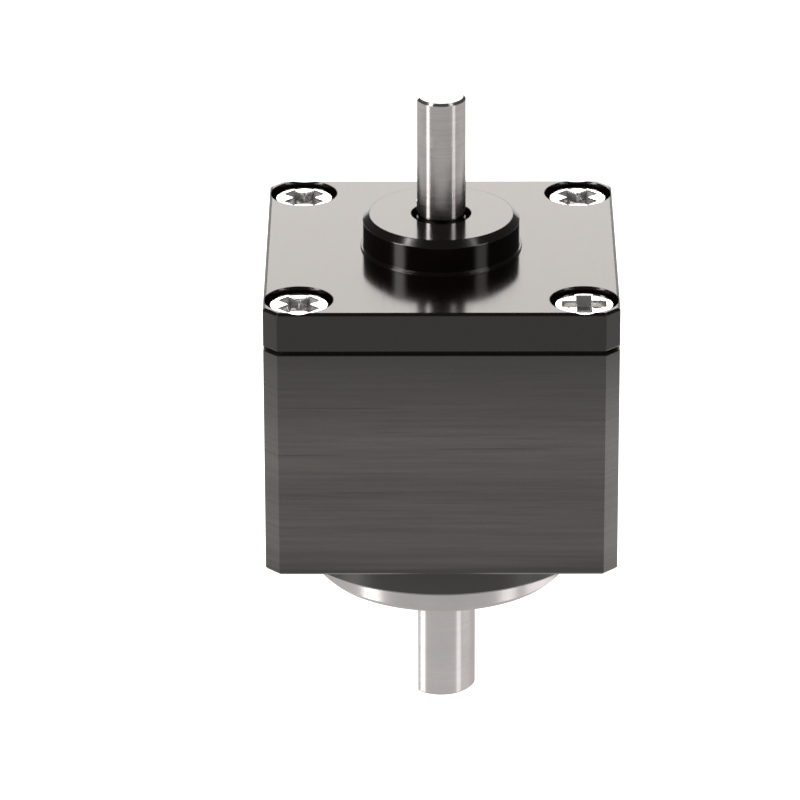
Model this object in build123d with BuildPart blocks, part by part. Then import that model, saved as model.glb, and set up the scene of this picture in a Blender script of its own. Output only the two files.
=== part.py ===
from build123d import *
from build123d import SkipClean
import math
import os

# Harmonic (strain wave) reducer with an input shaft and an output shaft on one axis.
# Every length is in millimetres and every angle in degrees. The origin is the centre of
# the mounting face on the output side, and +Z runs along the shafts to the input shaft.

os.makedirs("parts", exist_ok=True)

# Square housing
frame_side = 50.0
corner_chamfer = 2.0
edge_break = 0.35
pilot_diameter = 47.0
pilot_height = 4.1
floor_height = 1.6
mounting_inset = 5.0
mounting_tap_drill = 3.3
mounting_depth = 9.0
diagonal = 45.0

# Cover, boss and gasket
cover_thickness = 5.7
boss_diameter = 22.4
boss_height = 5.0
boss_chamfer = 0.9
boss_foot = 0.3
gasket_thickness = 0.75
gasket_inset = 0.8
spigot_length = 3.15
spigot_wall = 3.8
lip_thickness = 1.5
shaft_hole_clearance = 0.8
clip_shelf = 0.8

# Cover screws
cover_screw_inset = 5.0
cover_screw_diameter = 4.0
cover_screw_length = 15.0
cover_head_diameter = 8.6
cover_head_height = 2.5
cover_head_sink = 0.65
counterbore_diameter = 9.7
cross_length = 6.0
cross_width = 1.15
cross_depth = 1.5
cross_taper = 15.0
screw_hole_clearance = 0.2

# Input shaft
input_shaft_diameter = 7.0
input_shaft_reach = 17.9
input_flat_distance = 3.0
input_flat_length = 15.9
input_flat_angle = 160.0
collar_diameter = 9.6
key_width = 2.0
key_height = 2.0
key_length = 4.0
key_angle = 90.0
circlip_thickness = 0.9
circlip_depth = 0.5
circlip_width = 1.3
circlip_opening = 3.8
relief_depth = 0.25
relief_width = 0.6

# Output hub and shaft
output_shaft_diameter = 10.0
output_shaft_length = 20.0
output_flat_distance = 3.4
output_flat_length = 14.5
output_flat_angle = 180.0
flange_diameter = 37.2
flange_overhang = 5.15
flange_chamfer = 0.9
flange_gap = 0.4
flange_sink = 1.5
seal_land_diameter = 27.0
neck_diameter = 25.0
hub_step = 0.7
hub_spigot_height = 2.0
hub_spigot_wall = 1.1
journal_room = 0.3
journal_room_depth = 1.05

# Crossed roller output bearing
output_bearing_bore = neck_diameter
output_bearing_outside = 40.0
output_bearing_width = 8.0
roller_diameter = 3.2
roller_length = 3.1
roller_count = 20
race_gap = 0.8
race_ring_thickness = 2.0
nut_thickness = 1.7
inner_nut_wall = 2.5
spanner_slot = 2.5
spanner_slot_depth = 0.9
spanner_slot_count = 4
spacer_play = 0.3

# Shaft seals
output_seal_outside = 34.0
output_seal_width = 3.3
input_seal_outside = 15.0
input_seal_width = 2.2
seal_skin = 0.8

# Strain wave gearing
module = 0.5
flexspline_teeth = 60
tooth_difference = 2
addendum = 0.4
dedendum = 0.5
flank_angle = 28.0
tooth_share = 0.44
tooth_width = 7.0
cup_length = 19.5
cup_wall = 0.55
cup_corner = 1.0
cup_circular_length = 3.5
cup_boss_diameter = 22.6
cup_boss_thickness = 1.6
diaphragm_thickness = 0.5
diaphragm_rise = 0.3
circular_spline_outside = 42.0
dutch_pin_diameter = 2.5
dutch_pin_length = 6.0
dutch_pin_count = 4

# Clamping of the flexspline on the hub
clamp_ring_thickness = 1.8
clamp_screw_circle = 18.0
clamp_screw_diameter = 2.5
clamp_screw_length = 9.5
clamp_head_diameter = 4.3
clamp_head_height = 2.5
clamp_socket = 2.0
clamp_socket_depth = 1.25
clamp_screw_count = 6

# Wave generator with its thin flexible bearing
wave_bearing_width = 5.2
wave_ring_thickness = 1.0
wave_ball_diameter = 2.5
wave_ball_count = 20
plug_hub_diameter = 13.0
plug_hub_height = 0.9
plug_rear_height = 0.45

# Input ball bearing, 7 x 19 x 6
input_bearing_outside = 19.0
input_bearing_width = 6.0
input_ball_diameter = 3.5
input_ball_count = 7

# Small bearing between the end of the input shaft and the hub, 5 x 11 x 3
journal_diameter = 5.0
pilot_bearing_outside = 11.0
pilot_bearing_width = 3.0
pilot_bearing_sink = 1.35
pilot_ball_diameter = 1.6
pilot_ball_count = 8

# Shares of the ball's radius in both ball bearings
shoulder_share = 0.4
cage_share = 1.6

# Clearances between pieces
fit_gap = 0.03
running_gap = 0.05
face_gap = 0.1
cage_gap = 0.08
groove_depth = 0.3

# Spacings worked out from the sizes above
mounting_spacing = frame_side - 2 * mounting_inset
cover_screw_spacing = frame_side - 2 * cover_screw_inset

# Heights worked out from the sizes above
pilot_face = -pilot_height
flange_face = pilot_face - flange_overhang
flange_top = pilot_face + flange_sink
recess_top = flange_top + flange_gap
output_shaft_end = flange_face - output_shaft_length
race_bottom = floor_height
race_middle = race_bottom + output_bearing_width / 2
race_top = race_bottom + output_bearing_width
hub_top = race_top + nut_thickness + hub_step
cup_open_end = hub_top + cup_length
wave_plane = cup_open_end - tooth_width / 2
spline_bottom = wave_plane - tooth_width / 2
spline_top = wave_plane + tooth_width / 2
cover_bottom = spline_top + spigot_length
housing_height = cover_bottom - gasket_thickness
cover_top = cover_bottom + cover_thickness
boss_top = cover_top + boss_height
seal_pocket_top = boss_top - lip_thickness
input_bearing_top = seal_pocket_top - input_seal_width - 2 * face_gap
input_bearing_bottom = input_bearing_top - input_bearing_width
groove_bottom = input_bearing_bottom - circlip_thickness - face_gap
web_bottom = groove_bottom - clip_shelf
input_shaft_end = boss_top + input_shaft_reach
plug_top = wave_plane + wave_bearing_width / 2 + plug_hub_height
plug_bottom = wave_plane - wave_bearing_width / 2 - plug_rear_height
pilot_bearing_top = hub_top + hub_spigot_height - pilot_bearing_sink
pilot_bearing_bottom = pilot_bearing_top - pilot_bearing_width
clamp_seat = hub_top + cup_boss_thickness
clamp_top = clamp_seat + clamp_ring_thickness

# Radii worked out from the sizes above
input_shaft_radius = input_shaft_diameter / 2
journal_radius = journal_diameter / 2
circular_spline_teeth = flexspline_teeth + tooth_difference
wave_lift = module * tooth_difference / 2
flexspline_pitch_radius = module * flexspline_teeth / 2
spline_pitch_radius = module * circular_spline_teeth / 2
tooth_thickness = math.pi * module * tooth_share
space_width = math.pi * module - tooth_thickness
flank_slope = math.tan(math.radians(flank_angle))
cup_outer_radius = flexspline_pitch_radius - dedendum
cup_inner_radius = cup_outer_radius - cup_wall
wave_outer_radius = cup_inner_radius - running_gap
wave_race_radius = wave_outer_radius - wave_ring_thickness
wave_ball_radius = wave_ball_diameter / 2
wave_ball_circle = wave_race_radius + groove_depth - wave_ball_radius - fit_gap
wave_inner_radius = wave_ball_circle - wave_ball_radius - fit_gap + groove_depth
plug_radius = wave_inner_radius - wave_ring_thickness
hub_spigot_radius = pilot_bearing_outside / 2 + hub_spigot_wall
housing_bore_radius = circular_spline_outside / 2 + fit_gap
race_middle_radius = (output_bearing_bore + output_bearing_outside) / 4
race_half_side = roller_diameter / 2 + fit_gap
foot_radius = boss_diameter / 2 + boss_foot


def turned(points, mode=Mode.ADD):
    """Turn a closed outline of (radius, height) points about the shaft axis."""
    with BuildSketch(Plane.XZ) as outline:
        with BuildLine():
            Polyline(*points, close=True)
        make_face()
    revolve(outline.sketch, axis=Axis.Z, mode=mode)


def square_outline(side, height):
    """Draw the housing's square, with its four corners cut off, at a height."""
    with BuildSketch(Plane.XY.offset(height)) as outline:
        Rectangle(side, side)
        chamfer(outline.vertices(), corner_chamfer)
    return outline.sketch


def flatted_stretch(diameter, distance, angle, bottom, length, free_end):
    """Make the end stretch of a shaft, round but for one flat, with the rim of its free end broken."""
    with BuildPart() as stretch:
        with BuildSketch(Plane.XY.offset(bottom).rotated((0, 0, angle))):
            Circle(diameter / 2)
            with Locations((distance, 0)):
                Rectangle(diameter, diameter, align=(Align.MIN, Align.CENTER), mode=Mode.SUBTRACT)
        extrude(amount=length)
        chamfer(stretch.faces().sort_by(Axis.Z)[free_end].edges(), edge_break)
    return stretch.part


def wave_ellipse(radius, mode=Mode.ADD):
    """Draw the oval that a thin ring of this radius takes on the wave generator."""
    Ellipse(radius + wave_lift, radius - wave_lift, mode=mode)


def finish(part, name):
    """Name a finished piece and write it."""
    part.part.label = name
    export_step(part.part, "parts/" + name + ".step")


# Housing: a square block, its round pilot and the stepped bore for everything inside
with BuildPart() as housing:
    extrude(square_outline(frame_side, 0), amount=housing_height)
    chamfer(housing.faces().sort_by(Axis.Z)[0].edges(), edge_break)
    with BuildSketch():
        Circle(pilot_diameter / 2)
    extrude(amount=-pilot_height)
    chamfer(housing.faces().sort_by(Axis.Z)[0].edges(), edge_break)
    recess_radius = flange_diameter / 2 + flange_gap
    seal_bore_radius = output_seal_outside / 2 + fit_gap
    race_bore_radius = output_bearing_outside / 2 + fit_gap
    turned([
        (0, pilot_face),
        (recess_radius, pilot_face),
        (recess_radius, recess_top),
        (seal_bore_radius, recess_top),
        (seal_bore_radius, race_bottom),
        (race_bore_radius, race_bottom),
        (race_bore_radius, spline_bottom),
        (housing_bore_radius, spline_bottom),
        (housing_bore_radius, housing_height),
        (0, housing_height),
    ], mode=Mode.SUBTRACT)
    with Locations(Plane.XY.offset(housing_height)):
        with GridLocations(cover_screw_spacing, cover_screw_spacing, 2, 2):
            Hole(cover_screw_diameter / 2 + fit_gap, depth=cover_screw_length)
        with PolarLocations(circular_spline_outside / 2, dutch_pin_count, start_angle=diagonal):
            Hole(dutch_pin_diameter / 2 + fit_gap, depth=housing_height - spline_top + dutch_pin_length)
    with Locations(Plane(origin=(0, 0, 0), z_dir=(0, 0, -1))):
        with GridLocations(mounting_spacing, mounting_spacing, 2, 2):
            Hole(mounting_tap_drill / 2, depth=mounting_depth)
finish(housing, "housing")

# Gasket that shows as the dark line between housing and cover
with BuildPart() as cover_gasket:
    extrude(square_outline(frame_side - 2 * gasket_inset, housing_height), amount=gasket_thickness)
    with Locations(Plane.XY.offset(cover_bottom)):
        Hole(housing_bore_radius + running_gap)
        with GridLocations(cover_screw_spacing, cover_screw_spacing, 2, 2):
            Hole(cover_screw_diameter / 2 + running_gap)
finish(cover_gasket, "cover_gasket")

# Input cover: plate, boss with the bearing seat, and the spigot that clamps the circular spline
with BuildPart() as input_cover:
    extrude(square_outline(frame_side, cover_bottom), amount=cover_thickness)
    chamfer(input_cover.faces().sort_by(Axis.Z)[-1].edges(), edge_break)
    with BuildSketch(Plane.XY.offset(cover_top)):
        Circle(boss_diameter / 2)
    extrude(amount=boss_height)
    chamfer(input_cover.faces().sort_by(Axis.Z)[-1].edges(), boss_chamfer)
    with BuildSketch(Plane.XY.offset(cover_top)):
        Circle(foot_radius)
    extrude(amount=boss_foot)
    with BuildSketch(Plane.XY.offset(cover_bottom)):
        Circle(circular_spline_outside / 2)
    extrude(amount=-spigot_length)
    bearing_seat_radius = input_bearing_outside / 2 + fit_gap
    seal_seat_radius = input_seal_outside / 2 + fit_gap
    shaft_hole_radius = input_shaft_radius + shaft_hole_clearance
    spigot_inner_radius = circular_spline_outside / 2 - spigot_wall
    turned([
        (0, spline_top),
        (spigot_inner_radius, spline_top),
        (spigot_inner_radius, web_bottom),
        (bearing_seat_radius, web_bottom),
        (bearing_seat_radius, groove_bottom),
        (bearing_seat_radius + circlip_depth, groove_bottom),
        (bearing_seat_radius + circlip_depth, input_bearing_bottom),
        (bearing_seat_radius, input_bearing_bottom),
        (bearing_seat_radius, input_bearing_top),
        (seal_seat_radius, input_bearing_top),
        (seal_seat_radius, seal_pocket_top),
        (shaft_hole_radius, seal_pocket_top),
        (shaft_hole_radius, boss_top),
        (0, boss_top),
    ], mode=Mode.SUBTRACT)
    with Locations(Plane.XY.offset(cover_top)):
        with GridLocations(cover_screw_spacing, cover_screw_spacing, 2, 2):
            CounterBoreHole(
                radius=cover_screw_diameter / 2 + screw_hole_clearance,
                counter_bore_radius=counterbore_diameter / 2,
                counter_bore_depth=cover_head_sink + cover_head_height,
            )
finish(input_cover, "input_cover")

# Four cover screws with cross recesses, one of them turned square to the sides
with BuildPart() as cover_screws:
    head_top = cover_top - cover_head_sink
    with BuildSketch(Plane.XY.offset(head_top)):
        with GridLocations(cover_screw_spacing, cover_screw_spacing, 2, 2):
            Circle(cover_head_diameter / 2)
    extrude(amount=-cover_head_height)
    chamfer(cover_screws.faces().sort_by(Axis.Z)[-4:].edges(), edge_break)
    with BuildSketch(Plane.XY.offset(head_top - cover_head_height)):
        with GridLocations(cover_screw_spacing, cover_screw_spacing, 2, 2):
            Circle(cover_screw_diameter / 2)
    extrude(amount=-cover_screw_length)
    for side_x, side_y in ((-1, -1), (-1, 1), (1, 1), (1, -1)):
        turn = 0 if (side_x, side_y) == (1, -1) else diagonal
        with BuildSketch(Plane.XY.offset(head_top)):
            with Locations((side_x * cover_screw_spacing / 2, side_y * cover_screw_spacing / 2)):
                Rectangle(cross_length, cross_width, rotation=turn)
                Rectangle(cross_width, cross_length, rotation=turn)
        extrude(amount=-cross_depth, taper=cross_taper, mode=Mode.SUBTRACT)
finish(cover_screws, "cover_screws")

# Circular spline: a rigid ring with internal teeth, two more than the flexspline
with BuildPart() as circular_spline:
    spline_tip_radius = spline_pitch_radius - addendum
    spline_root_radius = spline_pitch_radius + dedendum
    space_start = spline_tip_radius - addendum
    space_mouth = space_width + 2 * (spline_pitch_radius - space_start) * flank_slope
    with BuildSketch(Plane.XY.offset(spline_bottom)):
        Circle(circular_spline_outside / 2)
        Circle(spline_tip_radius, mode=Mode.SUBTRACT)
        with PolarLocations(space_start, circular_spline_teeth):
            Trapezoid(
                space_mouth,
                spline_root_radius - space_start,
                90 - flank_angle,
                rotation=-90,
                align=(Align.CENTER, Align.MIN),
                mode=Mode.SUBTRACT,
            )
        with PolarLocations(circular_spline_outside / 2, dutch_pin_count, start_angle=diagonal):
            Circle(dutch_pin_diameter / 2 + fit_gap, mode=Mode.SUBTRACT)
    extrude(amount=tooth_width)
finish(circular_spline, "circular_spline")

# Pins half in the circular spline and half in the housing, which stop the spline turning
with BuildPart() as circular_spline_pins:
    with BuildSketch(Plane.XY.offset(spline_top - dutch_pin_length)):
        with PolarLocations(circular_spline_outside / 2, dutch_pin_count, start_angle=diagonal):
            Circle(dutch_pin_diameter / 2)
    extrude(amount=dutch_pin_length)
finish(circular_spline_pins, "circular_spline_pins")


def tooth_places():
    """Place each flexspline tooth on the oval, shifted and turned as the bent ring shifts it."""
    places = []
    for index in range(flexspline_teeth):
        at = 2 * math.pi * index / flexspline_teeth
        lift = wave_lift * math.cos(2 * at)
        slip = -wave_lift / 2 * math.sin(2 * at) / flexspline_pitch_radius
        tilt = 2 * wave_lift * math.sin(2 * at) / flexspline_pitch_radius
        radius = cup_outer_radius + lift - cup_wall / 2
        angle = math.degrees(at + slip + tilt) - 90
        places.append(Location((radius * math.cos(at + slip), radius * math.sin(at + slip)), angle))
    return places


# Flexspline: a thin steel cup, round at its closed end and oval under its teeth
with BuildPart() as flexspline:
    cup_floor = hub_top + diaphragm_rise
    cup_floor_inside = cup_floor + diaphragm_thickness
    boss_radius = cup_boss_diameter / 2
    round_end = hub_top + cup_circular_length
    inner_corner = cup_corner - cup_wall
    floor_edge = cup_inner_radius - inner_corner
    with BuildSketch(Plane.XZ):
        with BuildLine():
            Polyline(
                (cup_outer_radius, cup_floor + cup_corner),
                (cup_outer_radius, round_end),
                (cup_inner_radius, round_end),
                (cup_inner_radius, cup_floor_inside + inner_corner),
            )
            CenterArc((floor_edge, cup_floor_inside + inner_corner), inner_corner, 0, -90)
            Polyline(
                (floor_edge, cup_floor_inside),
                (boss_radius + diaphragm_thickness, cup_floor_inside),
                (boss_radius, hub_top + cup_boss_thickness),
                (hub_spigot_radius + fit_gap, hub_top + cup_boss_thickness),
                (hub_spigot_radius + fit_gap, hub_top),
                (boss_radius, hub_top),
                (boss_radius + diaphragm_rise, cup_floor),
                (cup_outer_radius - cup_corner, cup_floor),
            )
            CenterArc((cup_outer_radius - cup_corner, cup_floor + cup_corner), cup_corner, -90, 90)
        make_face()
    revolve(axis=Axis.Z)
    with BuildSketch(Plane.XY.offset(round_end)):
        Circle(cup_outer_radius)
    with BuildSketch(Plane.XY.offset(spline_bottom)):
        wave_ellipse(cup_outer_radius)
    loft()
    with BuildSketch(Plane.XY.offset(spline_bottom)):
        wave_ellipse(cup_outer_radius)
        root_thickness = tooth_thickness + 2 * (dedendum + cup_wall / 2) * flank_slope
        with Locations(*tooth_places()):
            Trapezoid(
                root_thickness,
                cup_wall / 2 + dedendum + addendum,
                90 - flank_angle,
                align=(Align.CENTER, Align.MIN),
            )
    extrude(amount=tooth_width)
    with BuildSketch(Plane.XY.offset(round_end)):
        Circle(cup_inner_radius)
    with BuildSketch(Plane.XY.offset(spline_bottom)):
        wave_ellipse(cup_inner_radius)
    loft(mode=Mode.SUBTRACT)
    with BuildSketch(Plane.XY.offset(spline_bottom)):
        wave_ellipse(cup_inner_radius)
    extrude(amount=tooth_width, mode=Mode.SUBTRACT)
    with Locations(Plane.XY.offset(clamp_seat)):
        with PolarLocations(clamp_screw_circle / 2, clamp_screw_count):
            Hole(clamp_screw_diameter / 2 + running_gap, depth=cup_boss_thickness)
finish(flexspline, "flexspline")

# Ring that spreads the force of the flexspline's screws
with BuildPart() as flexspline_clamp_ring:
    with BuildSketch(Plane.XY.offset(clamp_seat)):
        Circle(cup_boss_diameter / 2 - fit_gap)
        Circle(hub_spigot_radius + fit_gap, mode=Mode.SUBTRACT)
        with PolarLocations(clamp_screw_circle / 2, clamp_screw_count):
            Circle(clamp_screw_diameter / 2 + running_gap, mode=Mode.SUBTRACT)
    extrude(amount=clamp_ring_thickness)
finish(flexspline_clamp_ring, "flexspline_clamp_ring")

with BuildPart() as flexspline_screws:
    with BuildSketch(Plane.XY.offset(clamp_top)):
        with PolarLocations(clamp_screw_circle / 2, clamp_screw_count):
            Circle(clamp_head_diameter / 2)
            RegularPolygon(clamp_socket / 2, 6, major_radius=False, mode=Mode.SUBTRACT)
    extrude(amount=clamp_head_height)
    with BuildSketch(Plane.XY.offset(clamp_top)):
        with PolarLocations(clamp_screw_circle / 2, clamp_screw_count):
            Circle(clamp_head_diameter / 2)
    extrude(amount=clamp_head_height - clamp_socket_depth)
    with BuildSketch(Plane.XY.offset(clamp_top)):
        with PolarLocations(clamp_screw_circle / 2, clamp_screw_count):
            Circle(clamp_screw_diameter / 2)
    extrude(amount=-clamp_screw_length)
finish(flexspline_screws, "flexspline_screws")

# Output hub: flange, output shaft, seal land, bearing neck and seats, turned from one bar.
# The flatted end of each shaft keeps its own wall face, apart from the round stretch behind it.
output_shaft_tip = flatted_stretch(
    output_shaft_diameter,
    output_flat_distance,
    output_flat_angle,
    output_shaft_end,
    output_flat_length,
    free_end=0,
)

with BuildPart() as output_hub:
    turned([
        (0, output_shaft_end + output_flat_length),
        (output_shaft_diameter / 2, output_shaft_end + output_flat_length),
        (output_shaft_diameter / 2, flange_face),
        (flange_diameter / 2 - flange_chamfer, flange_face),
        (flange_diameter / 2, flange_face + flange_chamfer),
        (flange_diameter / 2, flange_top),
        (seal_land_diameter / 2, flange_top),
        (seal_land_diameter / 2, race_bottom),
        (neck_diameter / 2 - fit_gap, race_bottom),
        (neck_diameter / 2 - fit_gap, hub_top),
        (hub_spigot_radius, hub_top),
        (hub_spigot_radius, hub_top + hub_spigot_height),
        (pilot_bearing_outside / 2 + fit_gap, hub_top + hub_spigot_height),
        (pilot_bearing_outside / 2 + fit_gap, pilot_bearing_bottom),
        (journal_radius + journal_room, pilot_bearing_bottom),
        (journal_radius + journal_room, pilot_bearing_bottom - journal_room_depth),
        (0, pilot_bearing_bottom - journal_room_depth),
    ])
    with Locations(Plane.XY.offset(hub_top)):
        with PolarLocations(clamp_screw_circle / 2, clamp_screw_count):
            Hole(
                clamp_screw_diameter / 2 + fit_gap,
                depth=clamp_screw_length - cup_boss_thickness - clamp_ring_thickness + face_gap,
            )
    with SkipClean():
        add(output_shaft_tip, clean=False)
finish(output_hub, "output_hub")

# Input shaft: long input end with its flat, collar, plug seat and the small inner journal
input_shaft_tip = flatted_stretch(
    input_shaft_diameter,
    input_flat_distance,
    input_flat_angle,
    input_shaft_end - input_flat_length,
    input_flat_length,
    free_end=-1,
)

with BuildPart() as input_shaft:
    clip_top = plug_bottom - face_gap / 2
    clip_bottom = clip_top - circlip_thickness - face_gap
    relief_top = boss_top + running_gap
    turned([
        (0, pilot_bearing_bottom),
        (journal_radius - fit_gap, pilot_bearing_bottom),
        (journal_radius - fit_gap, pilot_bearing_top + face_gap),
        (input_shaft_radius - circlip_depth, pilot_bearing_top + face_gap + circlip_depth),
        (input_shaft_radius, pilot_bearing_top + face_gap + 2 * circlip_depth),
        (input_shaft_radius, clip_bottom),
        (input_shaft_radius - circlip_depth, clip_bottom),
        (input_shaft_radius - circlip_depth, clip_top),
        (input_shaft_radius, clip_top),
        (input_shaft_radius, plug_top),
        (collar_diameter / 2, plug_top),
        (collar_diameter / 2, input_bearing_bottom),
        (input_shaft_radius, input_bearing_bottom),
        (input_shaft_radius, relief_top - relief_width),
        (input_shaft_radius - relief_depth, relief_top - relief_width),
        (input_shaft_radius - relief_depth, relief_top),
        (input_shaft_radius, relief_top),
        (input_shaft_radius, input_shaft_end - input_flat_length),
        (0, input_shaft_end - input_flat_length),
    ])
    with BuildSketch(Plane.XY.offset(wave_plane - key_length / 2).rotated((0, 0, key_angle))):
        with Locations((input_shaft_radius - key_height / 2, 0)):
            Rectangle(key_height, key_width, align=(Align.MIN, Align.CENTER))
    extrude(amount=key_length, mode=Mode.SUBTRACT)
    with SkipClean():
        add(input_shaft_tip, clean=False)
finish(input_shaft, "input_shaft")

with BuildPart() as plug_key:
    with BuildSketch(Plane.XY.offset(wave_plane - key_length / 2).rotated((0, 0, key_angle))):
        with Locations((input_shaft_radius - key_height / 2, 0)):
            Rectangle(key_height, key_width, align=(Align.MIN, Align.CENTER))
    extrude(amount=key_length)
finish(plug_key, "plug_key")

# Wave generator plug: the oval steel disc that bends the flexible bearing
with BuildPart() as wave_generator_plug:
    with BuildSketch(Plane.XY.offset(wave_plane - wave_bearing_width / 2)):
        wave_ellipse(plug_radius)
    extrude(amount=wave_bearing_width)
    with BuildSketch(Plane.XY.offset(plug_bottom)):
        Circle(plug_hub_diameter / 2)
    extrude(amount=plug_top - plug_bottom)
    with BuildSketch(Plane.XY.offset(plug_bottom).rotated((0, 0, key_angle))):
        Circle(input_shaft_radius + fit_gap)
        with Locations((input_shaft_radius - key_height / 2, 0)):
            Rectangle(key_height + fit_gap, key_width + 2 * fit_gap, align=(Align.MIN, Align.CENTER))
    extrude(amount=plug_top - plug_bottom, mode=Mode.SUBTRACT)
finish(wave_generator_plug, "wave_generator_plug")

# Open clip in the shaft's groove, under the plug
with BuildPart() as plug_circlip:
    with BuildSketch(Plane.XY.offset(clip_bottom + face_gap / 2)):
        Circle(input_shaft_radius - circlip_depth + circlip_width)
        Circle(input_shaft_radius - circlip_depth + fit_gap, mode=Mode.SUBTRACT)
        Rectangle(
            input_shaft_diameter,
            circlip_opening,
            align=(Align.MIN, Align.CENTER),
            mode=Mode.SUBTRACT,
        )
    extrude(amount=circlip_thickness)
finish(plug_circlip, "plug_circlip")

# Open clip in the cover's groove, under the input bearing
with BuildPart() as input_bearing_circlip:
    clip_outer_radius = bearing_seat_radius + circlip_depth - fit_gap
    with BuildSketch(Plane.XY.offset(groove_bottom + face_gap / 2)):
        Circle(clip_outer_radius)
        Circle(clip_outer_radius - circlip_width, mode=Mode.SUBTRACT)
        Rectangle(
            input_bearing_outside,
            circlip_opening,
            align=(Align.MIN, Align.CENTER),
            mode=Mode.SUBTRACT,
        )
    extrude(amount=circlip_thickness)
finish(input_bearing_circlip, "input_bearing_circlip")


def wave_ring(name, outer_radius, inner_radius):
    """Make one oval ring of the flexible bearing, with the groove that its balls run in."""
    with BuildPart() as ring:
        with BuildSketch(Plane.XY.offset(wave_plane - wave_bearing_width / 2)):
            wave_ellipse(outer_radius)
            wave_ellipse(inner_radius, mode=Mode.SUBTRACT)
        extrude(amount=wave_bearing_width)
        with BuildLine(Plane.XY.offset(wave_plane)) as track:
            EllipticalCenterArc(
                (0, 0),
                wave_ball_circle + wave_lift,
                wave_ball_circle - wave_lift,
                arc_size=360,
            )
        with BuildSketch(Plane(origin=(wave_ball_circle + wave_lift, 0, wave_plane), z_dir=(0, 1, 0))):
            Circle(wave_ball_radius + fit_gap)
        sweep(path=track.wire(), mode=Mode.SUBTRACT)
    finish(ring, name)


wave_ring("flex_bearing_outer_ring", wave_outer_radius, wave_race_radius)
wave_ring("flex_bearing_inner_ring", wave_inner_radius, plug_radius)


def wave_ball_places():
    """Place the balls of the flexible bearing evenly round its oval track."""
    places = []
    for index in range(wave_ball_count):
        at = 2 * math.pi * (index + 0.5) / wave_ball_count
        across = (wave_ball_circle + wave_lift) * math.cos(at)
        along = (wave_ball_circle - wave_lift) * math.sin(at)
        places.append((across, along))
    return places


with BuildPart() as flex_bearing_balls:
    with Locations(Plane.XY.offset(wave_plane)):
        with Locations(*wave_ball_places()):
            Sphere(wave_ball_radius)
finish(flex_bearing_balls, "flex_bearing_balls")

# Comb cage of the flexible bearing: a thin oval base and a prong between each two balls
with BuildPart() as flex_bearing_cage:
    cage_outer = wave_race_radius - groove_depth
    cage_inner = wave_inner_radius + groove_depth
    cage_base = wave_plane - wave_bearing_width / 2 + face_gap
    cage_pocket_floor = wave_plane - wave_ball_radius - face_gap
    with BuildSketch(Plane.XY.offset(cage_base)):
        wave_ellipse(cage_outer)
        wave_ellipse(cage_inner, mode=Mode.SUBTRACT)
    extrude(amount=cage_pocket_floor - cage_base)
    with BuildSketch(Plane.XY.offset(cage_pocket_floor)):
        wave_ellipse(cage_outer)
        wave_ellipse(cage_inner, mode=Mode.SUBTRACT)
        with Locations(*wave_ball_places()):
            Circle(wave_ball_radius + cage_gap, mode=Mode.SUBTRACT)
    extrude(amount=wave_plane + wave_ball_radius - cage_pocket_floor)
finish(flex_bearing_cage, "flex_bearing_cage")


def ball_bearing(name, bore_radius, outside, width, ball_diameter, ball_count, bottom):
    """Make a ball bearing as four pieces: two grooved rings, the balls and a crown cage."""
    middle = bottom + width / 2
    ball_radius = ball_diameter / 2
    outer_radius = outside / 2
    ball_circle = (bore_radius + outer_radius) / 2
    shoulder = ball_radius * shoulder_share
    groove_radius = ball_radius + fit_gap
    inner_shoulder = ball_circle - ball_radius + shoulder
    outer_shoulder = ball_circle + ball_radius - shoulder
    for ring_name, low, high in (
        ("_inner_ring", bore_radius, inner_shoulder),
        ("_outer_ring", outer_shoulder, outer_radius),
    ):
        with BuildPart() as ring:
            with BuildSketch(Plane.XZ):
                with Locations(((low + high) / 2, middle)):
                    Rectangle(high - low, width)
                with Locations((ball_circle, middle)):
                    Circle(groove_radius, mode=Mode.SUBTRACT)
            revolve(axis=Axis.Z)
        finish(ring, name + ring_name)
    with BuildPart() as balls:
        with Locations(Plane.XY.offset(middle)):
            with PolarLocations(ball_circle, ball_count):
                Sphere(ball_radius)
    finish(balls, name + "_balls")
    with BuildPart() as cage:
        base = bottom + face_gap
        pocket_floor = middle - ball_radius - face_gap
        with BuildSketch(Plane.XY.offset(base)):
            Circle(outer_shoulder - face_gap)
            Circle(inner_shoulder + face_gap, mode=Mode.SUBTRACT)
        extrude(amount=pocket_floor - base)
        with BuildSketch(Plane.XY.offset(pocket_floor)):
            Circle(outer_shoulder - face_gap)
            Circle(inner_shoulder + face_gap, mode=Mode.SUBTRACT)
            with PolarLocations(ball_circle, ball_count):
                Circle(ball_radius + cage_gap, mode=Mode.SUBTRACT)
        extrude(amount=ball_radius * cage_share)
    finish(cage, name + "_cage")


ball_bearing(
    "input_bearing",
    input_shaft_radius,
    input_bearing_outside,
    input_bearing_width,
    input_ball_diameter,
    input_ball_count,
    input_bearing_bottom,
)
ball_bearing(
    "pilot_bearing",
    journal_radius,
    pilot_bearing_outside,
    pilot_bearing_width,
    pilot_ball_diameter,
    pilot_ball_count,
    pilot_bearing_bottom,
)

# Crossed roller bearing: V grooves face each other, and the outer ring is split to fill it
apex = race_half_side * math.sqrt(2)
inner_race_radius = race_middle_radius - race_gap / 2
outer_race_radius = race_middle_radius + race_gap / 2
groove_half = apex - race_gap / 2

with BuildPart() as output_bearing_inner_ring:
    turned([
        (output_bearing_bore / 2, race_bottom),
        (inner_race_radius, race_bottom),
        (inner_race_radius, race_middle - groove_half),
        (race_middle_radius - apex, race_middle),
        (inner_race_radius, race_middle + groove_half),
        (inner_race_radius, race_top),
        (output_bearing_bore / 2, race_top),
    ])
finish(output_bearing_inner_ring, "output_bearing_inner_ring")

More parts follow.
